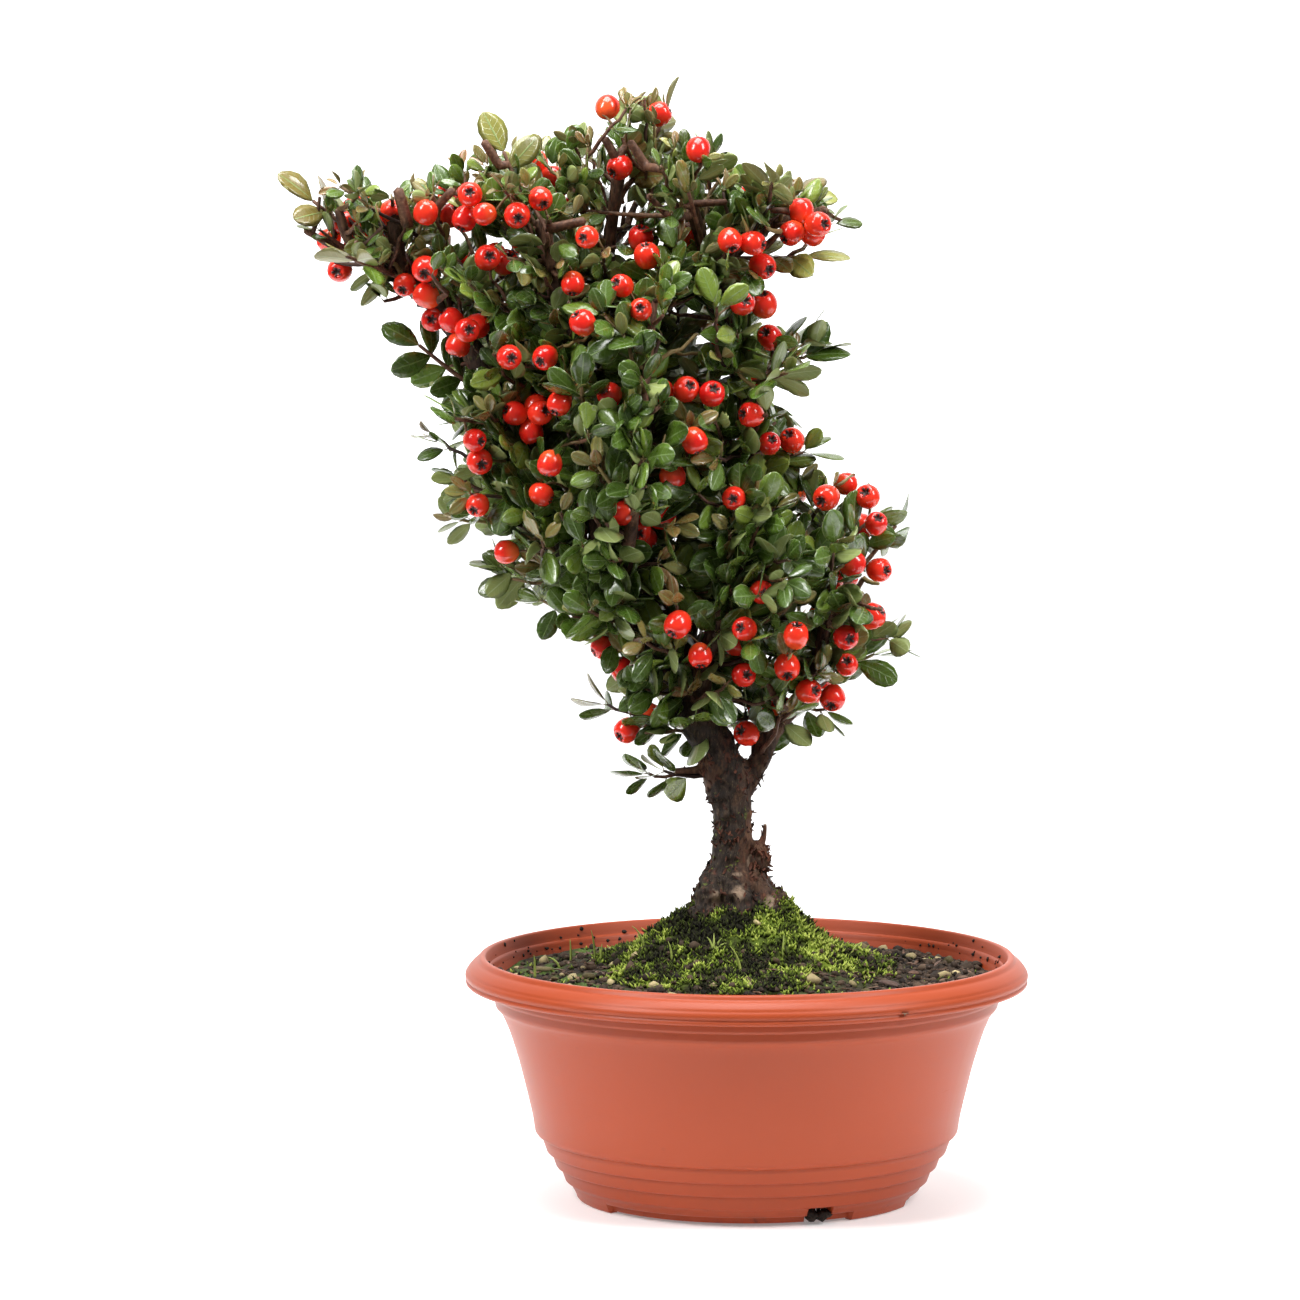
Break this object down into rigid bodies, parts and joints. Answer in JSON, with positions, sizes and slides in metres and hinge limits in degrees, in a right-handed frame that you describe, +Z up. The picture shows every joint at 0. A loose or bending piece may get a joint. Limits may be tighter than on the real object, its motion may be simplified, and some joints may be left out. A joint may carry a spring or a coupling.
{
  "type": "cotoneaster praecox bonsai in a round bowl",
  "caption": "Small bonsai tree with a leaning trunk, a dense crown of glossy leaves and red berries, on a mossy mound of soil in a round flared plastic bowl with a rolled rim.",
  "frame": {"origin": "middle of the whole plant's footprint, at the underside of the bowl's feet", "axes": "+Z up, -Y the front that the picture shows, +X to the right of it; the crown leans to -X"},
  "size_m": [0.2914, 0.22, 0.4369],
  "materials": {
    "pot_plastic": "satin",
    "potting_soil": "matte",
    "moss_green": "matte",
    "bark": "matte",
    "leaf_green": "satin",
    "berry_red": "gloss"
  },
  "bodies": {
    "root": {"pot": "pot_plastic", "soil": "potting_soil", "moss": "moss_green", "trunk_and_limbs": "bark", "berry_spur_01": "berry_red", "berry_spur_02": "berry_red", "berry_spur_03": "berry_red", "berry_spur_04": "berry_red", "berry_spur_05": "berry_red", "berry_spur_06": "berry_red", "berry_spur_07": "berry_red", "berry_spur_08": "berry_red", "berry_spur_09": "berry_red", "leafy_stem_01": "leaf_green", "leafy_stem_02": "leaf_green", "leafy_stem_03": "leaf_green", "leafy_stem_04": "leaf_green", "leafy_stem_05": "leaf_green", "leafy_stem_06": "leaf_green", "leafy_stem_07": "leaf_green", "leafy_stem_08": "leaf_green", "leafy_stem_09": "leaf_green", "leafy_stem_10": "leaf_green", "leafy_stem_11": "leaf_green", "leafy_stem_12": "leaf_green", "leafy_stem_13": "leaf_green", "leafy_stem_14": "leaf_green", "leafy_stem_15": "leaf_green", "leafy_stem_16": "leaf_green", "leafy_stem_17": "leaf_green", "leafy_stem_18": "leaf_green", "leafy_stem_19": "leaf_green", "leafy_stem_20": "leaf_green", "leafy_stem_21": "leaf_green", "leafy_stem_22": "leaf_green", "leafy_stem_23": "leaf_green", "leafy_stem_24": "leaf_green", "leafy_stem_25": "leaf_green", "leafy_stem_26": "leaf_green", "leafy_stem_27": "leaf_green", "leafy_stem_28": "leaf_green", "leafy_stem_29": "leaf_green", "leafy_stem_30": "leaf_green", "leafy_stem_31": "leaf_green", "leafy_stem_32": "leaf_green", "leafy_stem_33": "leaf_green", "leafy_stem_34": "leaf_green", "leafy_stem_35": "leaf_green", "leafy_stem_36": "leaf_green", "leafy_stem_37": "leaf_green", "leafy_stem_38": "leaf_green", "leafy_stem_39": "leaf_green", "leafy_stem_40": "leaf_green", "leafy_stem_41": "leaf_green", "leafy_stem_42": "leaf_green", "leafy_stem_43": "leaf_green", "leafy_stem_44": "leaf_green", "leafy_stem_45": "leaf_green", "leafy_stem_46": "leaf_green", "leafy_stem_47": "leaf_green"}
  },
  "joints": []
}
